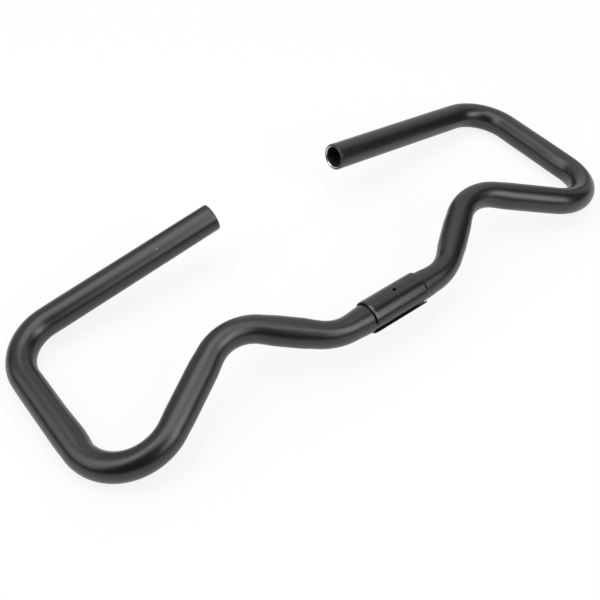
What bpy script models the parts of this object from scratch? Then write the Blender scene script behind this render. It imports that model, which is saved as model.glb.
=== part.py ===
"""Multi-position (butterfly) handlebar for a bicycle: one bent tube and the split sleeve round it.

Metres, +Z up. The origin is the middle of the clamp. +X runs along the clamp axis to the right
grip and +Y points back, to the grips. The bar lies level on its two side tubes.
"""

import math

import bmesh
import bpy
from mathutils import Matrix, Vector

# Tube stock
TUBE_DIAMETER = 0.0222
TUBE_WALL = 0.0022
TUBE_END_CHAMFER = 0.0003

# Corners of the tube's centreline on the right half, where two straights would meet
CLAMP_CORNER_OUT = 0.054
SHOULDER_OUT = 0.118
SHOULDER_BACK = 0.046
SHOULDER_RISE = 0.014
FRONT_CORNER_OUT = 0.2435
FRONT_CORNER_FORWARD = 0.0255
BACK_CORNER_OUT = 0.2445
BACK_CORNER_BACK = 0.149
SIDE_TUBE_DROP = 0.019
GRIP_END_OUT = 0.0615
GRIP_END_BACK = 0.1465
GRIP_END_RISE = 0.012

# Centreline radius of each bend, and the share of its width that the tube lost in bending
CLAMP_BEND_RADIUS = 0.041
CLAMP_BEND_FLATTENING = 0.10
SHOULDER_BEND_RADIUS = 0.037
SHOULDER_BEND_FLATTENING = 0.09
FRONT_BEND_RADIUS = 0.039
FRONT_BEND_FLATTENING = 0.04
BACK_BEND_RADIUS = 0.0355
BACK_BEND_FLATTENING = 0.02

# Rolled sleeve on the clamp straight. Angles are about +X, from +Y towards +Z.
SLEEVE_LENGTH = 0.050
SLEEVE_WALL = 0.0016
SLEEVE_CLEARANCE = 0.0003
SLEEVE_EDGE_CHAMFER = 0.0003
SLOT_ANGLE = math.radians(185)
SLOT_WIDTH = 0.0086
LOCATING_HOLE_DIAMETER = 0.0026
LOCATING_HOLE_ANGLE = math.radians(84)
LOCATING_HOLE_OUT = 0.001

# Facets
TUBE_SIDES = 24
BEND_STEP = math.radians(7.5)
SLEEVE_STEP = math.radians(7.5)
HOLE_SIDES = 16

# Edges sharper than this are the cut ones
CUT_EDGE_ANGLE = math.radians(60)
MERGE_DISTANCE = 0.00001


def clear_scene():
    """Remove whatever the scene held."""
    for obj in list(bpy.data.objects):
        bpy.data.objects.remove(obj, do_unlink=True)


def new_collection(name):
    """A collection linked to the scene."""
    collection = bpy.data.collections.new(name)
    bpy.context.scene.collection.children.link(collection)
    return collection


def painted_metal(name, color, roughness):
    """Satin paint on metal."""
    material = bpy.data.materials.new(name)
    material.use_nodes = True
    shader = material.node_tree.nodes["Principled BSDF"]
    shader.inputs["Base Color"].default_value = (*color, 1.0)
    shader.inputs["Roughness"].default_value = roughness
    shader.inputs["Metallic"].default_value = 0.0
    return material


def new_object(name, bm, collection, material):
    """An object from the bmesh, with smooth shading."""
    mesh = bpy.data.meshes.new(name)
    bm.to_mesh(mesh)
    bm.free()
    mesh.shade_smooth()
    mesh.materials.append(material)
    obj = bpy.data.objects.new(name, mesh)
    collection.objects.link(obj)
    return obj


def add_wall(obj, thickness, side):
    """Give an open surface its wall: side -1 grows it inwards, side 1 outwards."""
    wall = obj.modifiers.new("Wall", "SOLIDIFY")
    wall.thickness = thickness
    wall.offset = side
    wall.use_even_offset = True


def chamfer_cut_edges(obj, width):
    """Take the burr off the sharp edges."""
    chamfer = obj.modifiers.new("Chamfer", "BEVEL")
    chamfer.width = width
    chamfer.segments = 1
    chamfer.limit_method = "ANGLE"
    chamfer.angle_limit = CUT_EDGE_ANGLE


def tube_corners():
    """Centreline corners from the middle of the clamp to the right grip's end."""
    return [
        Vector((0, 0, 0)),
        Vector((CLAMP_CORNER_OUT, 0, 0)),
        Vector((SHOULDER_OUT, SHOULDER_BACK, SHOULDER_RISE)),
        Vector((FRONT_CORNER_OUT, -FRONT_CORNER_FORWARD, -SIDE_TUBE_DROP)),
        Vector((BACK_CORNER_OUT, BACK_CORNER_BACK, -SIDE_TUBE_DROP)),
        Vector((GRIP_END_OUT, GRIP_END_BACK, GRIP_END_RISE)),
    ]


def tube_bends():
    """Radius and flattening of the bend at each inner corner."""
    return [
        (CLAMP_BEND_RADIUS, CLAMP_BEND_FLATTENING),
        (SHOULDER_BEND_RADIUS, SHOULDER_BEND_FLATTENING),
        (FRONT_BEND_RADIUS, FRONT_BEND_FLATTENING),
        (BACK_BEND_RADIUS, BACK_BEND_FLATTENING),
    ]


def push_straight(bm, ring, travel):
    """Run the tube on from its last ring, and return the new last ring."""
    made = bmesh.ops.extrude_edge_only(bm, edges=ring)["geom"]
    verts = [item for item in made if isinstance(item, bmesh.types.BMVert)]
    bmesh.ops.translate(bm, verts=verts, vec=travel)
    return [item for item in made if isinstance(item, bmesh.types.BMEdge)]


def flatten_bend(verts, centre, axis, start, angle, radius, flattening):
    """Press the bend's section narrower in the plane of the bend, most at its middle."""
    across = axis.cross(start)
    for vert in verts:
        arm = vert.co - centre
        arm -= axis * arm.dot(axis)
        turned = math.atan2(arm.dot(across), arm.dot(start))
        share = math.sin(math.pi * min(max(turned / angle, 0.0), 1.0))
        off_centre = arm.length - radius
        vert.co -= arm.normalized() * off_centre * flattening * share


def turn_bend(bm, ring, corner, before, after, radius, flattening):
    """Bend the tube round one corner, and return the new last ring."""
    axis = before.cross(after).normalized()
    angle = before.angle(after)
    start = before.cross(axis)
    centre = corner - before * radius * math.tan(angle / 2) - start * radius
    old = set(bm.verts)
    steps = math.ceil(angle / BEND_STEP)
    made = bmesh.ops.spin(bm, geom=ring, cent=centre, axis=axis, angle=angle, steps=steps)["geom_last"]
    verts = [vert for vert in bm.verts if vert not in old]
    flatten_bend(verts, centre, axis, start, angle, radius, flattening)
    return [item for item in made if isinstance(item, bmesh.types.BMEdge)]


def make_tube(collection, material):
    """The bent tube: its right half by extruding and spinning one ring, then mirrored."""
    bm = bmesh.new()
    corners = tube_corners()
    face_along_x = Matrix.Rotation(math.radians(90), 4, "Y")
    bmesh.ops.create_circle(bm, segments=TUBE_SIDES, radius=TUBE_DIAMETER / 2, matrix=face_along_x)
    ring = list(bm.edges)
    reached = corners[0]
    for index, (radius, flattening) in enumerate(tube_bends(), start=1):
        before = (corners[index] - corners[index - 1]).normalized()
        after = (corners[index + 1] - corners[index]).normalized()
        setback = radius * math.tan(before.angle(after) / 2)
        ring = push_straight(bm, ring, corners[index] - before * setback - reached)
        ring = turn_bend(bm, ring, corners[index], before, after, radius, flattening)
        reached = corners[index] + after * setback
    push_straight(bm, ring, corners[-1] - reached)
    bmesh.ops.recalc_face_normals(bm, faces=bm.faces)

    tube = new_object("handlebar_tube", bm, collection, material)
    mirror = tube.modifiers.new("Left half", "MIRROR")
    mirror.merge_threshold = MERGE_DISTANCE
    add_wall(tube, TUBE_WALL, -1)
    chamfer_cut_edges(tube, TUBE_END_CHAMFER)
    return tube


def sleeve_radius():
    """Outer radius of the sleeve: the size that the stem clamps."""
    return TUBE_DIAMETER / 2 + SLEEVE_CLEARANCE + SLEEVE_WALL


def make_locating_hole_cutter(collection, material):
    """A drill across the sleeve's wall, pointing away from the clamp axis."""
    bm = bmesh.new()
    outer = sleeve_radius()
    # From half the sleeve's radius to half as far again outside it
    bmesh.ops.create_cone(
        bm,
        cap_ends=True,
        segments=HOLE_SIDES,
        radius1=LOCATING_HOLE_DIAMETER / 2,
        radius2=LOCATING_HOLE_DIAMETER / 2,
        depth=outer,
        matrix=Matrix.Translation((0, 0, outer)),
    )
    drill = new_object("locating_hole_cutter", bm, collection, material)
    drill.location = (LOCATING_HOLE_OUT, 0, 0)
    drill.rotation_euler = (LOCATING_HOLE_ANGLE - math.radians(90), 0, 0)
    drill.hide_render = True
    drill.display_type = "WIRE"
    return drill


def make_sleeve(collection, cutters, material):
    """The sleeve: a strip rolled round the clamp straight, short of closing by its slot."""
    outer = sleeve_radius()
    slot_angle = SLOT_WIDTH / outer
    rolled_angle = 2 * math.pi - slot_angle
    lip = SLOT_ANGLE + slot_angle / 2

    bm = bmesh.new()
    ends = [
        bm.verts.new((side * SLEEVE_LENGTH / 2, outer * math.cos(lip), outer * math.sin(lip)))
        for side in (-1, 1)
    ]
    strip_edge = bm.edges.new(ends)
    steps = math.ceil(rolled_angle / SLEEVE_STEP)
    bmesh.ops.spin(bm, geom=ends + [strip_edge], axis=(1, 0, 0), angle=rolled_angle, steps=steps)
    bmesh.ops.recalc_face_normals(bm, faces=bm.faces)

    sleeve = new_object("clamp_sleeve", bm, collection, material)
    add_wall(sleeve, SLEEVE_WALL, -1)
    chamfer_cut_edges(sleeve, SLEEVE_EDGE_CHAMFER)
    hole = sleeve.modifiers.new("Locating hole", "BOOLEAN")
    hole.operation = "DIFFERENCE"
    hole.object = make_locating_hole_cutter(cutters, material)
    return sleeve


def main():
    clear_scene()
    parts = new_collection("bicycle_handlebar")
    cutters = new_collection("cutters")
    tube_paint = painted_metal("satin_black_tube", (0.022, 0.022, 0.022), 0.38)
    sleeve_paint = painted_metal("satin_black_sleeve", (0.020, 0.020, 0.020), 0.34)
    make_tube(parts, tube_paint)
    make_sleeve(parts, cutters, sleeve_paint)


main()
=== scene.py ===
import math

import bmesh
import bpy
from mathutils import Matrix, Vector


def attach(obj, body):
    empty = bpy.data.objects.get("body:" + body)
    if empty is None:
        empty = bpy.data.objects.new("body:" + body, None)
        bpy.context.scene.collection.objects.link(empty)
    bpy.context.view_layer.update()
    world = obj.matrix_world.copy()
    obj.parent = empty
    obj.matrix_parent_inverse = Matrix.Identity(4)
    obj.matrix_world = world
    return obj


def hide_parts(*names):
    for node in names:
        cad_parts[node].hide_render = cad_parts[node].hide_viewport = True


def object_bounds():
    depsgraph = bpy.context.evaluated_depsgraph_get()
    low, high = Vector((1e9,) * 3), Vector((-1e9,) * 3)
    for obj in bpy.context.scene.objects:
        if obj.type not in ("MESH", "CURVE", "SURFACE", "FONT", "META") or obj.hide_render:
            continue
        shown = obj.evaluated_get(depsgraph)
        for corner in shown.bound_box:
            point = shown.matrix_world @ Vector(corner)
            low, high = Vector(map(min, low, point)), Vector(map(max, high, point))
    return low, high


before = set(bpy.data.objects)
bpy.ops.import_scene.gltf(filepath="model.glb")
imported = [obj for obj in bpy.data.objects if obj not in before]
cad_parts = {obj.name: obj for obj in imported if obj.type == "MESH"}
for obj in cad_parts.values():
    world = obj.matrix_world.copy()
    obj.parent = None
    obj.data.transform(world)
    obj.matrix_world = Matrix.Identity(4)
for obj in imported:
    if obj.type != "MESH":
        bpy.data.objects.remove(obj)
cadLow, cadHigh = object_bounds()
print("frame loaded:", sorted(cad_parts))

# Everything is in metres, with +X along the clamp to the right grip and +Y back to the grips.

mergeDistance = 0.00001
cutEdgeAngle = math.radians(60)  # sharper edges are the cut ones
smoothBelow = math.radians(40)


def newEdges(made):
    return [item for item in made if isinstance(item, bmesh.types.BMEdge)]


def newVerts(made):
    return [item for item in made if isinstance(item, bmesh.types.BMVert)]


def cutEdges(bm):
    return [edge for edge in bm.edges if edge.is_manifold and edge.calc_face_angle() > cutEdgeAngle]


def bevelEdges(bm, edges, width, segments):
    return bmesh.ops.bevel(
        bm, geom=edges, offset=width, offset_type="OFFSET", segments=segments,
        profile=0.5, affect="EDGES", material=-1,
    )["faces"]


def newObject(name, bm, materials):
    # the finished mesh keeps its place, so the object stays at the origin
    mesh = bpy.data.meshes.new(name)
    bm.to_mesh(mesh)
    bm.free()
    mesh.shade_smooth()
    mesh.set_sharp_from_angle(angle=smoothBelow)
    for material in materials:
        mesh.materials.append(material)
    obj = bpy.data.objects.new(name, mesh)
    bpy.context.scene.collection.objects.link(obj)
    return obj


def addNode(tree, kind, spot, **settings):
    # spot is only where the node lies in the editor
    node = tree.nodes.new(kind)
    node.location = spot
    for key, value in settings.items():
        setattr(node, key, value)
    return node


def newGroup(name, inputs, outputs):
    group = bpy.data.node_groups.new(name, "ShaderNodeTree")
    for socketName, kind in inputs:
        group.interface.new_socket(socketName, in_out="INPUT", socket_type="NodeSocket" + kind)
    for socketName, kind in outputs:
        group.interface.new_socket(socketName, in_out="OUTPUT", socket_type="NodeSocket" + kind)
    taken = addNode(group, "NodeGroupInput", (-900, 0))
    given = addNode(group, "NodeGroupOutput", (700, 0))
    return group, taken.outputs, given.inputs


grainSizes = {
    "patchesPerMetre": 65.0,  # patches about 15 mm across
    "patchShade": 0.2,  # how far a patch lightens or darkens the colour
    "marksPerMetre": 700.0,
    "marksSqueeze": 0.04,  # along the metal, which draws each mark out
    "marksHeight": 0.15,  # of the peel's height
    "roughnessSpread": 0.06,
}


def makePaintGrain(sizes):
    # satin paint: a slow unevenness, a fine orange peel, and faint drawing marks along the metal
    group, taken, given = newGroup(
        "paintGrain",
        [("Place", "Vector"), ("Colour", "Color"), ("Roughness", "Float"), ("Peels per metre", "Float")],
        [("Colour", "Color"), ("Roughness", "Float"), ("Height", "Float")],
    )
    link = group.links.new

    patches = addNode(group, "ShaderNodeTexNoise", (-500, 300))
    patches.inputs["Scale"].default_value = sizes["patchesPerMetre"]
    patches.inputs["Detail"].default_value = 2.0
    link(taken["Place"], patches.inputs["Vector"])

    # drawing marks: the place is squeezed along X before the noise reads it
    squeeze = addNode(group, "ShaderNodeMapping", (-700, 0))
    squeeze.inputs["Scale"].default_value = (sizes["marksSqueeze"], 1.0, 1.0)
    link(taken["Place"], squeeze.inputs["Vector"])
    marks = addNode(group, "ShaderNodeTexNoise", (-500, 0))
    marks.inputs["Scale"].default_value = sizes["marksPerMetre"]
    marks.inputs["Detail"].default_value = 3.0
    link(squeeze.outputs["Vector"], marks.inputs["Vector"])

    peel = addNode(group, "ShaderNodeTexNoise", (-500, -300))
    peel.inputs["Detail"].default_value = 2.0
    link(taken["Place"], peel.inputs["Vector"])
    link(taken["Peels per metre"], peel.inputs["Scale"])

    shade = addNode(group, "ShaderNodeMapRange", (-200, 300))
    shade.inputs["To Min"].default_value = 1.0 - sizes["patchShade"]
    shade.inputs["To Max"].default_value = 1.0 + sizes["patchShade"]
    link(patches.outputs["Fac"], shade.inputs["Value"])
    tint = addNode(group, "ShaderNodeVectorMath", (100, 300), operation="SCALE")
    link(taken["Colour"], tint.inputs[0])
    link(shade.outputs["Result"], tint.inputs["Scale"])
    link(tint.outputs["Vector"], given["Colour"])

    # patches and marks both change the roughness, and most of their sum lies from 0.6 to 1.4
    both = addNode(group, "ShaderNodeMath", (-200, 0), operation="ADD")
    link(patches.outputs["Fac"], both.inputs[0])
    link(marks.outputs["Fac"], both.inputs[1])
    spread = addNode(group, "ShaderNodeMapRange", (0, 0))
    spread.inputs["From Min"].default_value = 0.6
    spread.inputs["From Max"].default_value = 1.4
    spread.inputs["To Min"].default_value = 1.0 - sizes["roughnessSpread"]
    spread.inputs["To Max"].default_value = 1.0 + sizes["roughnessSpread"]
    link(both.outputs["Value"], spread.inputs["Value"])
    rough = addNode(group, "ShaderNodeMath", (250, 0), operation="MULTIPLY")
    link(taken["Roughness"], rough.inputs[0])
    link(spread.outputs["Result"], rough.inputs[1])
    link(rough.outputs["Value"], given["Roughness"])

    height = addNode(group, "ShaderNodeMath", (0, -300), operation="MULTIPLY_ADD")
    height.inputs[1].default_value = sizes["marksHeight"]
    link(marks.outputs["Fac"], height.inputs[0])
    link(peel.outputs["Fac"], height.inputs[2])
    link(height.outputs["Value"], given["Height"])
    return group


def makeSoftSpot():
    # the strength inside an ellipsoid round the centre and 0 outside, with a soft edge
    group, taken, given = newGroup(
        "softSpot",
        [("Place", "Vector"), ("Centre", "Vector"), ("Reach", "Vector"), ("Strength", "Float")],
        [("Mask", "Float")],
    )
    link = group.links.new
    away = addNode(group, "ShaderNodeVectorMath", (-600, 0), operation="SUBTRACT")
    link(taken["Place"], away.inputs[0])
    link(taken["Centre"], away.inputs[1])
    inReaches = addNode(group, "ShaderNodeVectorMath", (-400, 0), operation="DIVIDE")
    link(away.outputs["Vector"], inReaches.inputs[0])
    link(taken["Reach"], inReaches.inputs[1])
    distance = addNode(group, "ShaderNodeVectorMath", (-200, 0), operation="LENGTH")
    link(inReaches.outputs["Vector"], distance.inputs[0])
    fade = addNode(group, "ShaderNodeMapRange", (0, 0), interpolation_type="SMOOTHSTEP")
    fade.inputs["From Min"].default_value = 1.3
    fade.inputs["From Max"].default_value = 0.5
    link(distance.outputs["Value"], fade.inputs["Value"])
    mask = addNode(group, "ShaderNodeMath", (250, 0), operation="MULTIPLY")
    link(fade.outputs["Result"], mask.inputs[0])
    link(taken["Strength"], mask.inputs[1])
    link(mask.outputs["Value"], given["Mask"])
    return group


def addMark(tree, mark, place, colour, roughness, spot):
    # one scuff, nick, tick, painted shade or painted highlight over the paint
    where = addNode(tree, "ShaderNodeGroup", spot, node_tree=softSpot)
    where.inputs["Centre"].default_value = mark["centre"]
    where.inputs["Reach"].default_value = mark["reach"]
    where.inputs["Strength"].default_value = mark["strength"]
    tree.links.new(place, where.inputs["Place"])
    mixColour = addNode(tree, "ShaderNodeMix", (spot[0] + 200, spot[1]), data_type="RGBA")
    mixColour.inputs["B"].default_value = (*mark["colour"], 1.0)
    mixRoughness = addNode(tree, "ShaderNodeMix", (spot[0] + 200, spot[1] - 200), data_type="FLOAT")
    mixRoughness.inputs["B"].default_value = mark["roughness"]
    for mix, before in ((mixColour, colour), (mixRoughness, roughness)):
        tree.links.new(where.outputs["Mask"], mix.inputs["Factor"])
        tree.links.new(before, mix.inputs["A"])
    return mixColour.outputs["Result"], mixRoughness.outputs["Result"]


def makePaint(name, values, patternAttribute=None):
    # the grain follows the named attribute, or the object itself; marks have their own places on it
    material = bpy.data.materials.new(name)
    material.use_nodes = True
    tree = material.node_tree
    shader = tree.nodes["Principled BSDF"]
    place = addNode(tree, "ShaderNodeTexCoord", (-1200, 0)).outputs["Object"]
    pattern = place
    if patternAttribute:
        pattern = addNode(
            tree, "ShaderNodeAttribute", (-1200, -300), attribute_name=patternAttribute
        ).outputs["Vector"]
    shader.inputs["IOR"].default_value = values["ior"]
    paint = addNode(tree, "ShaderNodeGroup", (-900, 0), node_tree=paintGrain)
    paint.inputs["Colour"].default_value = (*values["colour"], 1.0)
    paint.inputs["Roughness"].default_value = values["roughness"]
    paint.inputs["Peels per metre"].default_value = values["peelsPerMetre"]
    tree.links.new(pattern, paint.inputs["Place"])
    colour, roughness = paint.outputs["Colour"], paint.outputs["Roughness"]
    for index, mark in enumerate(values["marks"]):
        colour, roughness = addMark(tree, mark, place, colour, roughness, (-700, 300 + 400 * index))
    bump = addNode(tree, "ShaderNodeBump", (-300, -200))
    bump.inputs["Strength"].default_value = values["peelStrength"]
    bump.inputs["Distance"].default_value = values["peelHeight"]
    tree.links.new(paint.outputs["Height"], bump.inputs["Height"])
    tree.links.new(colour, shader.inputs["Base Color"])
    tree.links.new(roughness, shader.inputs["Roughness"])
    tree.links.new(bump.outputs["Normal"], shader.inputs["Normal"])
    return material


def makeBareMetal(name, values):
    # aluminium as the cutter left it
    material = bpy.data.materials.new(name)
    material.use_nodes = True
    tree = material.node_tree
    shader = tree.nodes["Principled BSDF"]
    shader.inputs["Metallic"].default_value = 1.0
    shader.inputs["Base Color"].default_value = (*values["colour"], 1.0)
    place = addNode(tree, "ShaderNodeTexCoord", (-900, 0))
    scratches = addNode(tree, "ShaderNodeTexNoise", (-600, 0))
    scratches.inputs["Scale"].default_value = values["scratchesPerMetre"]
    spread = addNode(tree, "ShaderNodeMapRange", (-300, 0))
    spread.inputs["To Min"].default_value = values["smoothest"]
    spread.inputs["To Max"].default_value = values["roughest"]
    tree.links.new(place.outputs["Object"], scratches.inputs["Vector"])
    tree.links.new(scratches.outputs["Fac"], spread.inputs["Value"])
    tree.links.new(spread.outputs["Result"], shader.inputs["Roughness"])
    return material


tubePaint = {
    "colour": (0.0065, 0.0065, 0.0065),
    "ior": 1.6,
    "roughness": 0.31,
    "peelsPerMetre": 900.0,
    "peelStrength": 0.25,
    "peelHeight": 0.00004,
    "marks": [
        # painted shade: the tube darker and duller under the sleeve's hole, where the hole's floor lies
        # in shade
        {
            "centre": (0.001, 0.0012, 0.0110), "reach": (0.0021, 0.0021, 0.0021), "strength": 1.0,
            "colour": (0.002, 0.002, 0.002), "roughness": 0.8,
        },
        # a nick through to the metal, on top of the left grip
        {
            "centre": (-0.1154, 0.1415, 0.01255), "reach": (0.0007, 0.0004, 0.0004), "strength": 0.9,
            "colour": (0.45, 0.45, 0.45), "roughness": 0.4,
        },
    ],
}
borePaint = {
    "colour": (0.02, 0.02, 0.02),
    "ior": 1.5,
    "roughness": 0.6,
    "peelsPerMetre": 500.0,
    "peelStrength": 0.3,
    "peelHeight": 0.0001,
    "marks": [],
}
sleevePaint = {
    "colour": (0.007, 0.007, 0.007),
    "ior": 1.6,
    "roughness": 0.24,
    "peelsPerMetre": 1000.0,
    "peelStrength": 0.25,
    "peelHeight": 0.00004,
    "marks": [
        # three ticks that show the middle
        {
            "centre": (-0.0002, -0.0084, 0.0099), "reach": (0.0003, 0.0032, 0.0032), "strength": 0.25,
            "colour": (0.10, 0.10, 0.10), "roughness": 0.45,
        },
        {
            "centre": (0.0025, -0.0085, 0.0098), "reach": (0.0003, 0.0032, 0.0032), "strength": 0.25,
            "colour": (0.10, 0.10, 0.10), "roughness": 0.45,
        },
        {
            "centre": (0.0051, -0.0085, 0.0098), "reach": (0.0003, 0.0032, 0.0032), "strength": 0.25,
            "colour": (0.10, 0.10, 0.10), "roughness": 0.45,
        },
        # a faint line down from the hole
        {
            "centre": (0.0006, -0.0045, 0.0122), "reach": (0.00025, 0.0030, 0.0030), "strength": 0.35,
            "colour": (0.07, 0.07, 0.07), "roughness": 0.45,
        },
        # painted highlight at the left end: lighter, slightly rougher paint where the end's rounding
        # catches the light
        {
            "centre": (-0.0240, -0.0020, 0.0128), "reach": (0.0014, 0.0030, 0.0030), "strength": 0.6,
            "colour": (0.10, 0.10, 0.10), "roughness": 0.35,
        },
    ],
}
# the sleeve's cut faces at its ends, lips and hole: duller paint, its colour darkened as painted shade
# for the crevices round them
cutFacesPaintedShade = {
    "colour": (0.002, 0.002, 0.002),
    "ior": 1.4,
    "roughness": 0.6,
    "peelsPerMetre": 1000.0,
    "peelStrength": 0.3,
    "peelHeight": 0.00004,
    "marks": [],
}
bareMetal = {
    "colour": (0.75, 0.75, 0.74),
    "smoothest": 0.25,
    "roughest": 0.40,
    "scratchesPerMetre": 4000.0,
}

paintGrain = makePaintGrain(grainSizes)
softSpot = makeSoftSpot()
tubeMaterial = makePaint("tubeSatinBlack", tubePaint, "straightPlace")
boreMaterial = makePaint("boreDarkPaint", borePaint, "straightPlace")
sleeveMaterial = makePaint("sleeveSatinBlack", sleevePaint)
cutFacesShadeMaterial = makePaint("sleeveCutFacesPaintedShade", cutFacesPaintedShade)
metalMaterial = makeBareMetal("bareCutMetal", bareMetal)
print("materials made")


tubeSizes = {
    "diameter": 0.0222,
    "wall": 0.0022,
    "sides": 72,
    "straightStep": 0.004,
    "bendStep": math.radians(2.5),
    "pressRunIn": 0.012,  # the tube starts to narrow this far before a bend
    "pressAtEnds": 0.7,  # and has this much of the bend's narrowing where the bend starts
    "knuckle": 0.0010,  # height of the bump inside each front bend, where the side tube starts
    "knucklePast": 0.004,  # how far past the bend it is highest
    "knuckleRunIn": 0.012,  # how far it reaches back into the bend
    "knuckleRunOut": 0.034,  # and on along the side tube
    "outerRounding": 0.0010,
    "roundingSegments": 5,
    "boreChamfer": 0.0006,
    # corners of the right half's centreline, from the middle of the clamp to the grip's end
    "corners": [
        (0.0, 0.0, 0.0),
        (0.054, 0.0, 0.0),
        (0.118, 0.046, 0.014),
        (0.2435, -0.0255, -0.019),
        (0.2445, 0.149, -0.019),
        (0.0615, 0.1465, 0.012),
    ],
    # radius of each bend, and how much of its width the tube lost there
    "bends": [(0.041, 0.109), (0.037, 0.087), (0.039, 0.055), (0.0355, 0.018)],
}


def listBends(sizes):
    # each bend's circle: a point on it turns from start towards across
    corners = [Vector(corner) for corner in sizes["corners"]]
    found = []
    for index, (radius, pressed) in enumerate(sizes["bends"], start=1):
        before = (corners[index] - corners[index - 1]).normalized()
        after = (corners[index + 1] - corners[index]).normalized()
        axis = before.cross(after).normalized()
        angle = before.angle(after)
        start = before.cross(axis)
        setback = radius * math.tan(angle / 2)
        found.append({
            "radius": radius,
            "pressed": pressed,
            "axis": axis,
            "angle": angle,
            "start": start,
            "across": axis.cross(start),
            "centre": corners[index] - before * setback - start * radius,
            "enters": corners[index] - before * setback,
            "leaves": corners[index] + after * setback,
        })
    return found


def placeOnBend(bend, point):
    # how far along the bend a point lies, how far outside the centreline, and which way is out
    arm = point - bend["centre"]
    arm -= bend["axis"] * arm.dot(bend["axis"])
    turned = math.atan2(arm.dot(bend["across"]), arm.dot(bend["start"]))
    turned = min(max(turned, 0.0), bend["angle"])
    out = Matrix.Rotation(turned, 3, bend["axis"]) @ bend["start"]
    along = turned * bend["radius"] + arm.dot(bend["axis"].cross(out))
    return along, arm.dot(out) - bend["radius"], out


def pushStraight(bm, ring, travel, along, step):
    # the tube runs on in even steps, and each new ring keeps its distance along the tube
    place = bm.verts.layers.float_vector["straightPlace"]
    count = max(1, math.ceil(travel.length / step))
    for _ in range(count):
        made = bmesh.ops.extrude_edge_only(bm, edges=ring)["geom"]
        ring = newEdges(made)
        verts = newVerts(made)
        bmesh.ops.translate(bm, verts=verts, vec=travel / count)
        along += travel.length / count
        for vert in verts:
            vert[place].x = along
    return ring, along


def turnBend(bm, ring, bend, along, step):
    place = bm.verts.layers.float_vector["straightPlace"]
    old = set(bm.verts)
    count = math.ceil(bend["angle"] / step)
    made = bmesh.ops.spin(
        bm, geom=ring, cent=bend["centre"], axis=bend["axis"], angle=bend["angle"], steps=count
    )["geom_last"]
    for vert in bm.verts:
        if vert not in old:
            vert[place].x = along + placeOnBend(bend, vert.co)[0]
    return newEdges(made), along + bend["angle"] * bend["radius"]


def vertsOnBend(bm, bend, sizes):
    # the vertices in line with the bend, a little more than the tube's radius to each side
    reach = sizes["diameter"] * 0.55
    for vert in bm.verts:
        if abs((vert.co - bend["centre"]).dot(bend["axis"])) > reach:
            continue
        along, offCentre, out = placeOnBend(bend, vert.co)
        if abs(offCentre) < reach:
            yield vert, along, offCentre, out


def easedShare(distance, reach):
    # from 1 at no distance to 0 at the reach, level at both
    near = max(0.0, 1.0 - distance / reach)
    return near * near * (3 - 2 * near)


def pressShare(along, length, sizes):
    # nothing before the run-in, most at the middle of the bend
    atEnds = sizes["pressAtEnds"]
    if along < 0.0 or along > length:
        outside = -along if along < 0.0 else along - length
        return atEnds * easedShare(outside, sizes["pressRunIn"])
    return atEnds + (1 - atEnds) * math.sin(math.pi * along / length)


def pressBends(bm, bends, sizes):
    # bending pressed the tube narrower in the plane of each bend
    for bend in bends:
        length = bend["angle"] * bend["radius"]
        for vert, along, offCentre, out in vertsOnBend(bm, bend, sizes):
            vert.co -= out * offCentre * bend["pressed"] * pressShare(along, length, sizes)


def raiseKnuckle(bm, bend, sizes):
    # the bending die left a low bump on the inside
    length = bend["angle"] * bend["radius"]
    for vert, along, offCentre, out in vertsOnBend(bm, bend, sizes):
        if offCentre < 0.0:
            beyond = along - length - sizes["knucklePast"]
            reach = sizes["knuckleRunOut"] if beyond > 0.0 else sizes["knuckleRunIn"]
            inside = offCentre / (sizes["diameter"] / 2)
            vert.co -= out * sizes["knuckle"] * easedShare(abs(beyond), reach) * inside * inside


def makeRightHalf(bm, sizes, bends):
    # one ring of edges at the middle of the clamp, pushed and turned as far as the grip's end
    place = bm.verts.layers.float_vector.new("straightPlace")
    bmesh.ops.create_circle(
        bm, segments=sizes["sides"], radius=sizes["diameter"] / 2,
        matrix=Matrix.Rotation(math.radians(90), 4, "Y"),
    )
    for vert in bm.verts:
        vert[place] = vert.co
    ring = list(bm.edges)
    along = 0.0
    reached = Vector(sizes["corners"][0])
    for bend in bends:
        ring, along = pushStraight(bm, ring, bend["enters"] - reached, along, sizes["straightStep"])
        ring, along = turnBend(bm, ring, bend, along, sizes["bendStep"])
        reached = bend["leaves"]
    gripEnd = Vector(sizes["corners"][-1])
    pushStraight(bm, ring, gripEnd - reached, along, sizes["straightStep"])
    pressBends(bm, bends, sizes)
    frontBend = bends[2]
    raiseKnuckle(bm, frontBend, sizes)


def mirrorHalf(bm):
    place = bm.verts.layers.float_vector["straightPlace"]
    bmesh.ops.mirror(bm, geom=bm.verts[:] + bm.edges[:] + bm.faces[:], axis="X", merge_dist=mergeDistance)
    bmesh.ops.remove_doubles(bm, verts=bm.verts, dist=mergeDistance)
    for vert in bm.verts:
        vert[place].x = math.copysign(vert[place].x, vert.co.x)


def makeTube(sizes, materials):
    # materials: paint, bare metal, bore
    bm = bmesh.new()
    makeRightHalf(bm, sizes, listBends(sizes))
    mirrorHalf(bm)
    bmesh.ops.recalc_face_normals(bm, faces=bm.faces)
    outerVerts = set(bm.verts)
    bmesh.ops.solidify(bm, geom=bm.faces[:], thickness=sizes["wall"])
    for face in bm.faces:
        if not any(vert in outerVerts for vert in face.verts):
            face.material_index = 2
    cut = cutEdges(bm)
    outerCut = [edge for edge in cut if all(vert in outerVerts for vert in edge.verts)]
    boreCut = [edge for edge in cut if not any(vert in outerVerts for vert in edge.verts)]
    for face in bevelEdges(bm, boreCut, sizes["boreChamfer"], 1):
        face.material_index = 1
    bevelEdges(bm, outerCut, sizes["outerRounding"], sizes["roundingSegments"])
    tube = newObject("bentTube", bm, materials)
    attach(tube, "root")
    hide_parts("handlebar_tube")


makeTube(tubeSizes, [tubeMaterial, metalMaterial, boreMaterial])
print("tube made")


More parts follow.
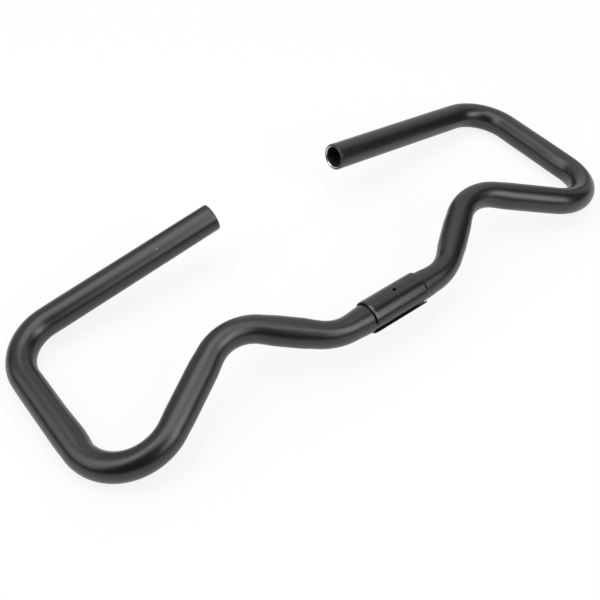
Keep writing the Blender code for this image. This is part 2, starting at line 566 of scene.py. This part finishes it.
# The sleeve is split along its front. Its angles are about +X, from +Y towards +Z.
sleeveSizes = {
    "length": 0.050,
    "outerRadius": 0.0130,
    "wall": 0.0012,
    "endTaper": 0.0022,  # the last stretch at each end
    "endDrop": 0.00034,  # and how much nearer to the tube it comes
    "lowerLip": math.radians(-156),
    "upperLip": math.radians(166),
    "cell": 0.00045,
    "holeRadius": 0.0015,
    "holeAngle": math.radians(84),
    "holeOut": 0.001,
    "edgeRounding": 0.00015,
    "roundingSegments": 2,
}


def drillSheet(bm, centre, radius, cell):
    # a block of cells comes out of the flat sheet, and its rim is drawn onto a circle
    half = round(radius / cell) * cell
    block = []
    for face in bm.faces:
        away = face.calc_center_median() - centre
        if max(abs(away.x), abs(away.y)) < half:
            block.append(face)
    touched = {vert for face in block for vert in face.verts}
    bmesh.ops.delete(bm, geom=block, context="FACES")
    for vert in touched:
        if vert.is_valid:
            vert.co = centre + (vert.co - centre).normalized() * radius


def rollSheet(bm, sizes):
    # the sheet's Y becomes the way round the tube, and both ends are drawn in a little
    radius = sizes["outerRadius"]
    taperStart = sizes["length"] / 2 - sizes["endTaper"]
    for vert in bm.verts:
        angle = vert.co.y / radius
        taper = max(0.0, (abs(vert.co.x) - taperStart) / sizes["endTaper"])
        height = radius - sizes["endDrop"] * taper * taper
        vert.co = (vert.co.x, height * math.cos(angle), height * math.sin(angle))
    bm.normal_update()
    first = next(iter(bm.faces))
    outward = first.calc_center_median()
    outward.x = 0.0
    if first.normal.dot(outward) < 0:
        bmesh.ops.reverse_faces(bm, faces=bm.faces)


def makeSleeve(sizes, materials):
    # materials: paint, and the cut faces, darker as painted shade
    radius = sizes["outerRadius"]
    width = radius * (sizes["upperLip"] - sizes["lowerLip"])
    middle = radius * (sizes["upperLip"] + sizes["lowerLip"]) / 2
    hole = Vector((sizes["holeOut"], radius * sizes["holeAngle"], 0))
    bm = bmesh.new()
    bmesh.ops.create_grid(
        bm, size=0.5,
        x_segments=round(sizes["length"] / sizes["cell"]),
        y_segments=round(width / sizes["cell"]),
        matrix=Matrix.Translation((0, middle, 0)) @ Matrix.Diagonal((sizes["length"], width, 1, 1)),
    )
    drillSheet(bm, hole, sizes["holeRadius"], sizes["cell"])
    rollSheet(bm, sizes)
    outerVerts = set(bm.verts)
    bmesh.ops.solidify(bm, geom=bm.faces[:], thickness=sizes["wall"])
    # the rim faces of ends, lips and hole take the cut faces' paint, whose darker colour is painted shade
    for face in bm.faces:
        outside = sum(vert in outerVerts for vert in face.verts)
        if 0 < outside < len(face.verts):
            face.material_index = 1
    bevelEdges(bm, cutEdges(bm), sizes["edgeRounding"], sizes["roundingSegments"])
    sleeve = newObject("clampSleeve", bm, materials)
    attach(sleeve, "root")
    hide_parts("clamp_sleeve")


makeSleeve(sleeveSizes, [sleeveMaterial, cutFacesShadeMaterial])
print("sleeve made")


cameraView = {
    "place": (-0.3275, -0.3003, 0.4912),
    "looksAt": (-0.0534, 0.0435, 0.0),
    "roll": math.radians(1.20),
    "lens": 53.33,
}


def makeCamera(values):
    data = bpy.data.cameras.new("camera")
    data.lens = values["lens"]
    data.sensor_width = 36.0
    camera = bpy.data.objects.new("camera", data)
    bpy.context.scene.collection.objects.link(camera)
    toward = Vector(values["looksAt"]) - Vector(values["place"])
    turn = toward.to_track_quat("-Z", "Y").to_matrix().to_4x4() @ Matrix.Rotation(values["roll"], 4, "Z")
    camera.matrix_world = Matrix.Translation(values["place"]) @ turn
    bpy.context.scene.camera = camera


makeCamera(cameraView)


studio = {
    "floorColour": (0.86, 0.86, 0.86),
    "floorSize": 12.0,
    "whiteToCamera": 0.85,  # how far the camera sees the floor as plain white
    "whiteToReflections": 0.65,  # and how far reflections do
    "worldLight": 0.03,
    "middle": (0.0, 0.07, 0.0),  # the lamps stand round this point
    "lampDistance": 1.6,
}

# Soft lamps, in degrees: azimuth 0 is behind the bar and 90 to its right. A radiance of 1 is white.
softboxes = {
    "overhead": {"azimuth": 330, "elevation": 81, "wide": 42, "high": 42, "radiance": 2.00},
    "highFront": {"azimuth": 165, "elevation": 66, "wide": 24, "high": 22, "radiance": 1.75},
    "highRight": {"azimuth": 67, "elevation": 66, "wide": 24, "high": 22, "radiance": 0.20},
    "backLeft": {"azimuth": 304, "elevation": 39, "wide": 26, "high": 46, "radiance": 1.25},
    "left": {"azimuth": 278, "elevation": 39, "wide": 22, "high": 46, "radiance": 1.55},
    "frontStrip": {"azimuth": 157, "elevation": 39, "wide": 16, "high": 34, "radiance": 3.60},
    "frontStripFoot": {"azimuth": 157, "elevation": 18, "wide": 17, "high": 14, "radiance": 1.40},
    "front": {"azimuth": 178, "elevation": 31, "wide": 18, "high": 30, "radiance": 1.60},
    "frontRight": {"azimuth": 139, "elevation": 38, "wide": 14, "high": 18, "radiance": 1.10},
    "back": {"azimuth": 348, "elevation": 30, "wide": 32, "high": 58, "radiance": 0.42},
    "backRight": {"azimuth": 42, "elevation": 31, "wide": 56, "high": 62, "radiance": 0.62},
    "right": {"azimuth": 88, "elevation": 31, "wide": 22, "high": 62, "radiance": 0.42},
}


def makeFloor(values, height):
    bm = bmesh.new()
    bmesh.ops.create_grid(
        bm, x_segments=1, y_segments=1, size=values["floorSize"] / 2,
        matrix=Matrix.Translation((0, 0, height)),
    )
    material = bpy.data.materials.new("paleFloor")
    material.use_nodes = True
    tree = material.node_tree
    shader = tree.nodes["Principled BSDF"]
    shader.inputs["Base Color"].default_value = (*values["floorColour"], 1.0)
    shader.inputs["Roughness"].default_value = 0.9
    white = addNode(tree, "ShaderNodeEmission", (0, -400))
    white.inputs["Color"].default_value = (1.0, 1.0, 1.0, 1.0)
    path = addNode(tree, "ShaderNodeLightPath", (-600, 400))
    whitening = addNode(tree, "ShaderNodeMath", (0, 400), operation="MAXIMUM")
    mix = addNode(tree, "ShaderNodeMixShader", (300, 0))
    bounced = addNode(tree, "ShaderNodeMath", (-450, 200), operation="MAXIMUM")
    tree.links.new(path.outputs["Is Glossy Ray"], bounced.inputs[0])
    tree.links.new(path.outputs["Is Transmission Ray"], bounced.inputs[1])
    rays = (
        (path.outputs["Is Camera Ray"], "whiteToCamera"),
        (bounced.outputs["Value"], "whiteToReflections"),
    )
    for index, (ray, share) in enumerate(rays):
        scaled = addNode(tree, "ShaderNodeMath", (-250, 500 - 200 * index), operation="MULTIPLY")
        scaled.inputs[1].default_value = values[share]
        tree.links.new(ray, scaled.inputs[0])
        tree.links.new(scaled.outputs["Value"], whitening.inputs[index])
    tree.links.new(whitening.outputs["Value"], mix.inputs[0])
    tree.links.new(shader.outputs[0], mix.inputs[1])
    tree.links.new(white.outputs[0], mix.inputs[2])
    tree.links.new(mix.outputs[0], tree.nodes["Material Output"].inputs["Surface"])
    newObject("floor", bm, [material])


def makeWorld(values):
    # a dim room round the lamps, which the camera sees as plain white
    world = bpy.data.worlds.new("studioWorld")
    world.use_nodes = True
    bpy.context.scene.world = world
    tree = world.node_tree
    path = addNode(tree, "ShaderNodeLightPath", (-600, 0))
    light = addNode(tree, "ShaderNodeMath", (-300, 0), operation="MAXIMUM")
    light.inputs[1].default_value = values["worldLight"]
    tree.links.new(path.outputs["Is Camera Ray"], light.inputs[0])
    tree.links.new(light.outputs["Value"], tree.nodes["Background"].inputs["Color"])


def makeSoftbox(name, values, middle, distance):
    data = bpy.data.lights.new(name, "AREA")
    data.shape = "RECTANGLE"
    data.size = 2 * distance * math.tan(math.radians(values["wide"] / 2))
    data.size_y = 2 * distance * math.tan(math.radians(values["high"] / 2))
    data.energy = values["radiance"] * 4 * data.size * data.size_y  # watts that give this radiance
    lamp = bpy.data.objects.new(name, data)
    bpy.context.scene.collection.objects.link(lamp)
    azimuth = math.radians(values["azimuth"])
    elevation = math.radians(values["elevation"])
    toLamp = Vector((
        math.sin(azimuth) * math.cos(elevation),
        math.cos(azimuth) * math.cos(elevation),
        math.sin(elevation),
    ))
    facing = (-toLamp).to_track_quat("-Z", "Y").to_matrix().to_4x4()
    lamp.matrix_world = Matrix.Translation(Vector(middle) + toLamp * distance) @ facing


makeFloor(studio, cadLow.z)
makeWorld(studio)
for name, values in softboxes.items():
    makeSoftbox(name, values, studio["middle"], studio["lampDistance"])
bpy.context.scene.view_settings.view_transform = "Standard"
print("stage made")
